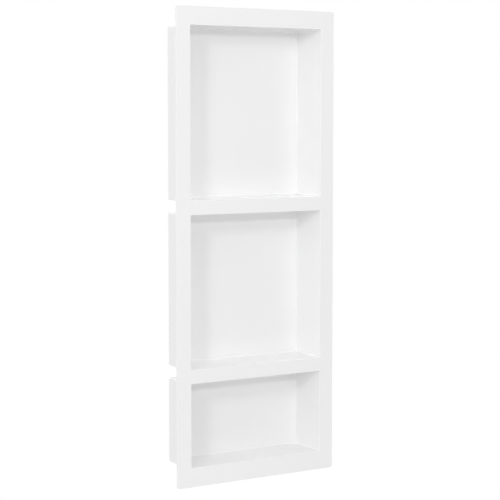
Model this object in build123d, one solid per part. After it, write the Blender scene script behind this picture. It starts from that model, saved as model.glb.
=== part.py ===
from build123d import *
import os

# Shower niche insert: one sheet of white acrylic, formed into a flange with open-fronted compartments.
# Millimetres. +X runs across the width, +Y runs back into the wall and +Z is up.
# The origin is the middle of the flange's rear face, the face that is bonded to the finished wall.

# Flange
FLANGE_WIDTH = 410.0
SIDE_BORDER = 35.0
TOP_BORDER = 40.0
BOTTOM_BORDER = 42.0
FLANGE_CORNER_RADIUS = 6.0

# Compartments, measured at their mouths in the flange's front face
UPPER_HEIGHT = 375.0
MIDDLE_HEIGHT = 336.0
LOWER_HEIGHT = 185.0
DIVIDER_HEIGHT = 31.0
CLEAR_DEPTH = 91.5
DRAFT_ANGLE = 1.8

# Sheet and its bends
SHEET_THICKNESS = 4.5
CORNER_RADIUS = 2.5
BACK_EDGE_RADIUS = 1.0
MOUTH_EDGE_RADIUS = 0.8
ROOT_RADIUS = 2.0
FLANGE_EDGE_RADIUS = 0.5

# Sizes that follow from the ones above
FRONT_Y = -SHEET_THICKNESS
MOUTH_WIDTH = FLANGE_WIDTH - 2 * SIDE_BORDER
MOUTH_HEIGHTS = (UPPER_HEIGHT, MIDDLE_HEIGHT, LOWER_HEIGHT)
DIVIDERS_TOTAL = DIVIDER_HEIGHT * (len(MOUTH_HEIGHTS) - 1)
FLANGE_HEIGHT = TOP_BORDER + sum(MOUTH_HEIGHTS) + DIVIDERS_TOTAL + BOTTOM_BORDER


def front_plane(middle_z):
    """The flange's front face, seen as a sketch plane that extrudes back into the wall."""
    return Plane(origin=(0, FRONT_Y, middle_z), x_dir=(1, 0, 0), z_dir=(0, 1, 0))


def mouth_middles():
    """Each compartment's mouth height with the Z of its middle, from the top down."""
    top = FLANGE_HEIGHT / 2 - TOP_BORDER
    mouths = []
    for height in MOUTH_HEIGHTS:
        mouths.append((height, top - height / 2))
        top -= height + DIVIDER_HEIGHT
    return mouths


def drafted_block(height, middle_z, wall):
    """One compartment's form as a solid: its cavity with no wall, or its outside with the sheet's wall."""
    with BuildPart() as block:
        with BuildSketch(front_plane(middle_z)):
            Rectangle(MOUTH_WIDTH + 2 * wall, height + 2 * wall)
        extrude(amount=CLEAR_DEPTH + wall)
        walls = block.faces().filter_by(Plane.XZ, reverse=True)
        draft(walls, front_plane(middle_z), DRAFT_ANGLE)
        edges_front_to_back = block.edges().group_by(Axis.Y)[1]
        fillet(edges_front_to_back, CORNER_RADIUS)
        fillet(block.faces().sort_by(Axis.Y)[-1].edges(), BACK_EDGE_RADIUS)
    return block.part


def inner_edges(face):
    """The edges of every hole in a face."""
    return [edge for wire in face.inner_wires() for edge in wire.edges()]


def niche_shell():
    """The flange and its compartments, as the one sheet that they are formed from."""
    with BuildPart() as shell:
        with BuildSketch(front_plane(0)):
            RectangleRounded(FLANGE_WIDTH, FLANGE_HEIGHT, FLANGE_CORNER_RADIUS)
        extrude(amount=SHEET_THICKNESS)
        for height, middle_z in mouth_middles():
            add(drafted_block(height, middle_z, SHEET_THICKNESS))
        for height, middle_z in mouth_middles():
            add(drafted_block(height, middle_z, 0), mode=Mode.SUBTRACT)
        rear_face = shell.faces().filter_by(Plane.XZ).group_by(Axis.Y)[1][0]
        fillet(inner_edges(rear_face), ROOT_RADIUS)
        front_face = shell.faces().sort_by(Axis.Y)[0]
        fillet(inner_edges(front_face), MOUTH_EDGE_RADIUS)
        front_face = shell.faces().sort_by(Axis.Y)[0]
        fillet(front_face.outer_wire().edges(), FLANGE_EDGE_RADIUS)
    return shell.part


os.makedirs("parts", exist_ok=True)
export_step(niche_shell(), "parts/niche_shell.step")
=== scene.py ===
import math
import bmesh
import bpy
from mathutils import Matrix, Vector


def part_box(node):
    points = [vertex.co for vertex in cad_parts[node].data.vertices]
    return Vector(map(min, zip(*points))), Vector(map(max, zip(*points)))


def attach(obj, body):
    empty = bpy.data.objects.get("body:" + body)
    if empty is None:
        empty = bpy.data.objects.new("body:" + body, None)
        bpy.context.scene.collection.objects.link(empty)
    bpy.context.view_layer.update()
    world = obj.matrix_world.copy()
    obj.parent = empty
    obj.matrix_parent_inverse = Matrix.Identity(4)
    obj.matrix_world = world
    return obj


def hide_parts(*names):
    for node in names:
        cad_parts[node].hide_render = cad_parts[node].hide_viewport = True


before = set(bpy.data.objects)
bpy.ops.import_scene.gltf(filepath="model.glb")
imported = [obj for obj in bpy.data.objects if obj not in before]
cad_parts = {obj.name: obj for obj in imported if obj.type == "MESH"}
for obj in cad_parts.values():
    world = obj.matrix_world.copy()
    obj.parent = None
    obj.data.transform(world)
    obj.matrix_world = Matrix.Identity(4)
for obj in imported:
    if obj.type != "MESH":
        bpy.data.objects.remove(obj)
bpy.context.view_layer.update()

# Shower niche insert of glossy white acrylic, on a white ground. Metres, in the frame of the CAD model:
# +X runs across the width, +Y runs back into the wall, +Z is up and the origin is on the wall's face.

# Formed sheet, with the sizes of the CAD model
SHEET_THICKNESS = 0.0045
SIDE_BORDER = 0.035
TOP_BORDER = 0.040
MOUTH_HEIGHTS = (0.375, 0.336, 0.185)
DIVIDER_HEIGHT = 0.031
DRAFT_ANGLE = math.radians(1.8)
FLANGE_CORNER_RADIUS = 0.006
FLANGE_FRONT_EDGE_RADIUS = 0.0005
CORNER_RADIUS = 0.0025
MOUTH_EDGE_RADIUS = 0.0008
ROOT_RADIUS = 0.002
BACK_EDGE_RADIUS = 0.001

# The flange's rear edge is sharp in the CAD model, and is eased here
FLANGE_REAR_EDGE_RADIUS = 0.0004

# Faces around each rounded corner and across each rounded edge
CORNER_STEPS = 8
EDGE_STEPS = 6

# Acrylic: glossy white, with the slight unevenness of a sheet that was heated and drawn into a mould
ACRYLIC_COLOUR = (0.93, 0.93, 0.93, 1.0)
ACRYLIC_DEEPER_COLOUR = (0.91, 0.91, 0.911, 1.0)
ACRYLIC_IOR = 1.49
TONE_SCALE = 5.0
TONE_DETAIL = 2.0
ROUGHNESS_SCALE = 40.0
ROUGHNESS_DETAIL = 3.0
ROUGHNESS_LOW = 0.05
ROUGHNESS_HIGH = 0.1
WAVE_SCALE = 14.0
WAVE_DETAIL = 1.0
WAVE_HEIGHT = 0.00001
PEEL_SCALE = 420.0
PEEL_DETAIL = 1.0
PEEL_HEIGHT = 0.0000004

# Places of the colour sockets on a mix node, which has sockets of the same names for other values
MIX_FACTOR = 0
MIX_FIRST_COLOUR = 6
MIX_SECOND_COLOUR = 7
MIX_RESULT_COLOUR = 2

# Camera
CAMERA_TARGET = (-0.0192, -0.0045, -0.0076)
CAMERA_AZIMUTH = 32.638
CAMERA_ELEVATION = 4.833
CAMERA_DISTANCE = 3.4827
FOCAL_LENGTH_MM = 113.8
SENSOR_WIDTH_MM = 36.0

# Stage: the niche hangs at the height at which it is fitted, over a floor that fades into the white
FLOOR_DROP = 1.2
FLOOR_RADIUS = 2.4
FLOOR_SIDES = 128
FLOOR_FADE_START = 1.5
FLOOR_COLOUR = (0.9, 0.9, 0.9, 1.0)
FLOOR_GLOW = 0.25

# World: white where the picture shows it, and dimmer where it lights a surface
WORLD_COLOUR = (1.0, 1.0, 1.0, 1.0)
SEEN_LEVEL = 1.0
AMBIENT_LEVEL = 0.557

# Lights: each has its azimuth to the left of the front, its elevation, its distance, its width,
# its height and its power, in degrees, metres and watts
LIGHTS = {
    "key": (50, 20, 4.2, 0.65, 0.65, 28.7),
    "front": (19.5, 15, 4.5, 1.3, 0.35, 31.8),
    "left": (85, 27, 3.5, 2.4, 2.4, 17.8),
    "right": (-60, 45, 3.5, 1.8, 1.8, 15.0),
    "near": (20, 38, 2.3, 0.6, 0.6, 1.4),
    "rear": (166, 20, 3.5, 1.6, 1.6, 20.0),
}

# Sizes that follow from the frame
shell_low, shell_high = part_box("niche_shell")
FRONT_Y = shell_low.y
SHELL_DEPTH = shell_high.y - shell_low.y
CAVITY_DEPTH = SHELL_DEPTH - SHEET_THICKNESS
HALF_MOUTH_WIDTH = shell_high.x - SIDE_BORDER


def arc(centre, radius, start, end):
    """Points of a profile, as offset and depth pairs, along an arc between two angles."""
    points = []
    for step in range(EDGE_STEPS + 1):
        turn = start + (end - start) * step / EDGE_STEPS
        offset = centre[0] + radius * math.cos(turn)
        depth = centre[1] + radius * math.sin(turn)
        points.append((offset, depth))
    return points


def wall_offset(wall, depth):
    """How far a drafted wall stands outside its mouth's edge, at a depth behind the front face."""
    return wall - math.tan(DRAFT_ANGLE) * depth


def beside_wall(wall, depth, gap):
    """The offset of a point that lies a gap away from a drafted wall, on its outside."""
    return wall_offset(wall, depth) + gap / math.cos(DRAFT_ANGLE)


def cavity_profile():
    """A compartment's inside, from the flange's front face to its own back."""
    mouth_depth = MOUTH_EDGE_RADIUS
    mouth_centre = (beside_wall(0, mouth_depth, MOUTH_EDGE_RADIUS), mouth_depth)
    back_depth = CAVITY_DEPTH - BACK_EDGE_RADIUS
    back_centre = (beside_wall(0, back_depth, -BACK_EDGE_RADIUS), back_depth)
    mouth = arc(mouth_centre, MOUTH_EDGE_RADIUS, -math.pi / 2, DRAFT_ANGLE - math.pi)
    back = arc(back_centre, BACK_EDGE_RADIUS, DRAFT_ANGLE, math.pi / 2)
    return mouth + back


def outside_profile():
    """A compartment's outside, from the flange's rear face to its own back."""
    wall = SHEET_THICKNESS
    root_depth = SHEET_THICKNESS + ROOT_RADIUS
    root_centre = (beside_wall(wall, root_depth, ROOT_RADIUS), root_depth)
    back_depth = SHELL_DEPTH - BACK_EDGE_RADIUS
    back_centre = (beside_wall(wall, back_depth, -BACK_EDGE_RADIUS), back_depth)
    root = arc(root_centre, ROOT_RADIUS, -math.pi / 2, DRAFT_ANGLE - math.pi)
    back = arc(back_centre, BACK_EDGE_RADIUS, DRAFT_ANGLE, math.pi / 2)
    return root + back


def flange_profile():
    """The flange's outer edge, from its front face to its rear face."""
    front, rear = FLANGE_FRONT_EDGE_RADIUS, FLANGE_REAR_EDGE_RADIUS
    front_edge = arc((-front, front), front, -math.pi / 2, 0)
    rear_edge = arc((-rear, SHEET_THICKNESS - rear), rear, 0, math.pi / 2)
    return front_edge + rear_edge


def ring(shape, middle_z, half_width, half_height, radius, depth):
    """A loop of vertices on a rounded rectangle that lies a depth behind the front face."""
    loop = []
    for quarter, (side, rise) in enumerate(((1, 1), (-1, 1), (-1, -1), (1, -1))):
        for step in range(CORNER_STEPS + 1):
            turn = math.pi / 2 * (quarter + step / CORNER_STEPS)
            x = side * (half_width - radius) + radius * math.cos(turn)
            z = middle_z + rise * (half_height - radius) + radius * math.sin(turn)
            loop.append(shape.verts.new((x, FRONT_Y + depth, z)))
    return loop


def skin(shape, rings):
    """Faces between each ring and the next."""
    for first, second in zip(rings, rings[1:]):
        count = len(first)
        for i in range(count):
            j = (i + 1) % count
            shape.faces.new((first[i], first[j], second[j], second[i]))


def compartment_rings(shape, middle_z, height, profile, wall):
    """The rings of one side of a compartment's wall, skinned and closed by its back."""
    rings = []
    for offset, depth in profile:
        half_width = HALF_MOUTH_WIDTH + offset
        half_height = height / 2 + offset
        radius = CORNER_RADIUS + offset - wall_offset(wall, depth)
        rings.append(ring(shape, middle_z, half_width, half_height, radius, depth))
    skin(shape, rings)
    shape.faces.new(rings[-1])
    return rings


def flange_rings(shape):
    """The rings of the flange's outer edge, skinned."""
    rings = []
    for offset, depth in flange_profile():
        half_width = shell_high.x + offset
        half_height = shell_high.z + offset
        radius = FLANGE_CORNER_RADIUS + offset
        rings.append(ring(shape, 0, half_width, half_height, radius, depth))
    skin(shape, rings)
    return rings


def fill_between(shape, loops):
    """The flat face between an outer loop and the loops inside it."""
    edges = []
    for loop in loops:
        for first, second in zip(loop, loop[1:] + loop[:1]):
            edges.append(shape.edges.get((first, second)))
    bmesh.ops.triangle_fill(shape, edges=edges, use_beauty=True, use_dissolve=False)


def formed_shell():
    """The whole sheet: flange, compartments and the walls behind them."""
    shape = bmesh.new()
    edge = flange_rings(shape)
    front_loops = [edge[0]]
    rear_loops = [edge[-1]]
    top = shell_high.z - TOP_BORDER
    for height in MOUTH_HEIGHTS:
        middle_z = top - height / 2
        cavity = compartment_rings(shape, middle_z, height, cavity_profile(), 0)
        outside = compartment_rings(shape, middle_z, height, outside_profile(), SHEET_THICKNESS)
        front_loops.append(cavity[0])
        rear_loops.append(outside[0])
        top -= height + DIVIDER_HEIGHT
    fill_between(shape, front_loops)
    fill_between(shape, rear_loops)
    bmesh.ops.recalc_face_normals(shape, faces=shape.faces)
    for face in shape.faces:
        face.smooth = True
    mesh = bpy.data.meshes.new("formed_shell")
    shape.to_mesh(mesh)
    shape.free()
    piece = bpy.data.objects.new("formed_shell", mesh)
    bpy.context.scene.collection.objects.link(piece)
    piece.modifiers.new("flat faces stay flat", "WEIGHTED_NORMAL")
    return piece


def noise(tree, scale, detail):
    """A noise texture over the piece's own coordinates, in metres."""
    where = tree.nodes.new("ShaderNodeTexCoord")
    texture = tree.nodes.new("ShaderNodeTexNoise")
    texture.inputs["Scale"].default_value = scale
    texture.inputs["Detail"].default_value = detail
    tree.links.new(where.outputs["Object"], texture.inputs["Vector"])
    return texture.outputs["Fac"]


def bump(tree, height_map, height, under=None):
    """Relief of a given height in metres, laid over the relief under it."""
    relief = tree.nodes.new("ShaderNodeBump")
    relief.inputs["Distance"].default_value = height
    tree.links.new(height_map, relief.inputs["Height"])
    if under is not None:
        tree.links.new(under, relief.inputs["Normal"])
    return relief.outputs["Normal"]


def acrylic():
    """Glossy white, a little uneven in its tone, its gloss and its relief."""
    material = bpy.data.materials.new("acrylic")
    material.use_nodes = True
    tree = material.node_tree
    shader = tree.nodes["Principled BSDF"]
    shader.inputs["IOR"].default_value = ACRYLIC_IOR

    tone = tree.nodes.new("ShaderNodeMix")
    tone.data_type = "RGBA"
    tone.inputs[MIX_FIRST_COLOUR].default_value = ACRYLIC_COLOUR
    tone.inputs[MIX_SECOND_COLOUR].default_value = ACRYLIC_DEEPER_COLOUR
    tree.links.new(noise(tree, TONE_SCALE, TONE_DETAIL), tone.inputs[MIX_FACTOR])
    tree.links.new(tone.outputs[MIX_RESULT_COLOUR], shader.inputs["Base Color"])

    gloss = tree.nodes.new("ShaderNodeMapRange")
    gloss.inputs["To Min"].default_value = ROUGHNESS_LOW
    gloss.inputs["To Max"].default_value = ROUGHNESS_HIGH
    tree.links.new(noise(tree, ROUGHNESS_SCALE, ROUGHNESS_DETAIL), gloss.inputs["Value"])
    tree.links.new(gloss.outputs["Result"], shader.inputs["Roughness"])

    waves = bump(tree, noise(tree, WAVE_SCALE, WAVE_DETAIL), WAVE_HEIGHT)
    peel = bump(tree, noise(tree, PEEL_SCALE, PEEL_DETAIL), PEEL_HEIGHT, waves)
    tree.links.new(peel, shader.inputs["Normal"])
    return material


def direction(azimuth, elevation):
    """The way that something faces from an azimuth, to the left of the front, and an elevation."""
    turn = math.radians(azimuth)
    dip = math.radians(elevation)
    return Vector((math.sin(turn) * math.cos(dip), math.cos(turn) * math.cos(dip), -math.sin(dip)))


def add_camera():
    """The camera of the photograph."""
    data = bpy.data.cameras.new("camera")
    data.lens = FOCAL_LENGTH_MM
    data.sensor_width = SENSOR_WIDTH_MM
    camera = bpy.data.objects.new("camera", data)
    ahead = direction(CAMERA_AZIMUTH, CAMERA_ELEVATION)
    camera.location = Vector(CAMERA_TARGET) - CAMERA_DISTANCE * ahead
    camera.rotation_euler = ahead.to_track_quat("-Z", "Y").to_euler()
    bpy.context.scene.collection.objects.link(camera)
    bpy.context.scene.camera = camera


def add_area_light(name, azimuth, elevation, distance, width, height, power):
    """An oval light that faces the origin."""
    data = bpy.data.lights.new(name, "AREA")
    data.shape = "ELLIPSE"
    data.size = width
    data.size_y = height
    data.energy = power
    light = bpy.data.objects.new(name, data)
    ahead = direction(azimuth, elevation)
    light.location = -distance * ahead
    light.rotation_euler = ahead.to_track_quat("-Z", "Y").to_euler()
    bpy.context.scene.collection.objects.link(light)


def seen_ray(tree):
    """One for a ray that shows what it meets, straight on, mirrored or through glass, and else zero."""
    path = tree.nodes.new("ShaderNodeLightPath")
    seen = path.outputs["Is Camera Ray"]
    for kind in ("Is Glossy Ray", "Is Transmission Ray"):
        either = tree.nodes.new("ShaderNodeMath")
        either.operation = "MAXIMUM"
        tree.links.new(seen, either.inputs[0])
        tree.links.new(path.outputs[kind], either.inputs[1])
        seen = either.outputs["Value"]
    return seen


def add_world():
    """The white all around, at one level for the picture and at another for the light on surfaces."""
    world = bpy.data.worlds.new("studio")
    world.use_nodes = True
    tree = world.node_tree
    background = tree.nodes["Background"]
    background.inputs["Color"].default_value = WORLD_COLOUR
    level = tree.nodes.new("ShaderNodeMapRange")
    level.inputs["To Min"].default_value = AMBIENT_LEVEL
    level.inputs["To Max"].default_value = SEEN_LEVEL
    tree.links.new(seen_ray(tree), level.inputs["Value"])
    tree.links.new(level.outputs["Result"], background.inputs["Strength"])
    bpy.context.scene.world = world


def floor_material():
    """Matt and pale, lit and shaded as any floor, with a glow for seen rays alone and a clear rim."""
    material = bpy.data.materials.new("floor")
    material.use_nodes = True
    tree = material.node_tree
    tree.nodes.remove(tree.nodes["Principled BSDF"])

    matt = tree.nodes.new("ShaderNodeBsdfDiffuse")
    matt.inputs["Color"].default_value = FLOOR_COLOUR
    strength = tree.nodes.new("ShaderNodeMath")
    strength.operation = "MULTIPLY"
    strength.inputs[1].default_value = FLOOR_GLOW
    tree.links.new(seen_ray(tree), strength.inputs[0])
    glow = tree.nodes.new("ShaderNodeEmission")
    tree.links.new(strength.outputs["Value"], glow.inputs["Strength"])
    lit = tree.nodes.new("ShaderNodeAddShader")
    tree.links.new(matt.outputs["BSDF"], lit.inputs[0])
    tree.links.new(glow.outputs["Emission"], lit.inputs[1])

    where = tree.nodes.new("ShaderNodeTexCoord")
    reach = tree.nodes.new("ShaderNodeVectorMath")
    reach.operation = "LENGTH"
    tree.links.new(where.outputs["Object"], reach.inputs[0])
    fade = tree.nodes.new("ShaderNodeMapRange")
    fade.interpolation_type = "SMOOTHSTEP"
    fade.inputs["From Min"].default_value = FLOOR_FADE_START
    fade.inputs["From Max"].default_value = FLOOR_RADIUS
    tree.links.new(reach.outputs["Value"], fade.inputs["Value"])
    clear = tree.nodes.new("ShaderNodeBsdfTransparent")
    surface = tree.nodes.new("ShaderNodeMixShader")
    tree.links.new(fade.outputs["Result"], surface.inputs["Fac"])
    tree.links.new(lit.outputs["Shader"], surface.inputs[1])
    tree.links.new(clear.outputs["BSDF"], surface.inputs[2])
    tree.links.new(surface.outputs["Shader"], tree.nodes["Material Output"].inputs["Surface"])
    return material


def add_floor():
    """The round floor below the niche."""
    bpy.ops.mesh.primitive_circle_add(
        vertices=FLOOR_SIDES, radius=FLOOR_RADIUS, fill_type="NGON", location=(0, 0, -FLOOR_DROP)
    )
    floor = bpy.context.object
    floor.name = "floor"
    floor.data.materials.append(floor_material())


shell = formed_shell()
shell.data.materials.append(acrylic())
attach(shell, "root")
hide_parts("niche_shell")

add_floor()
add_world()
for name, light in LIGHTS.items():
    add_area_light(name, *light)
add_camera()
bpy.context.scene.view_settings.view_transform = "Standard"
# The glossy walls throw light on each other, which a blurred gloss would lose
bpy.context.scene.cycles.blur_glossy = 0.0
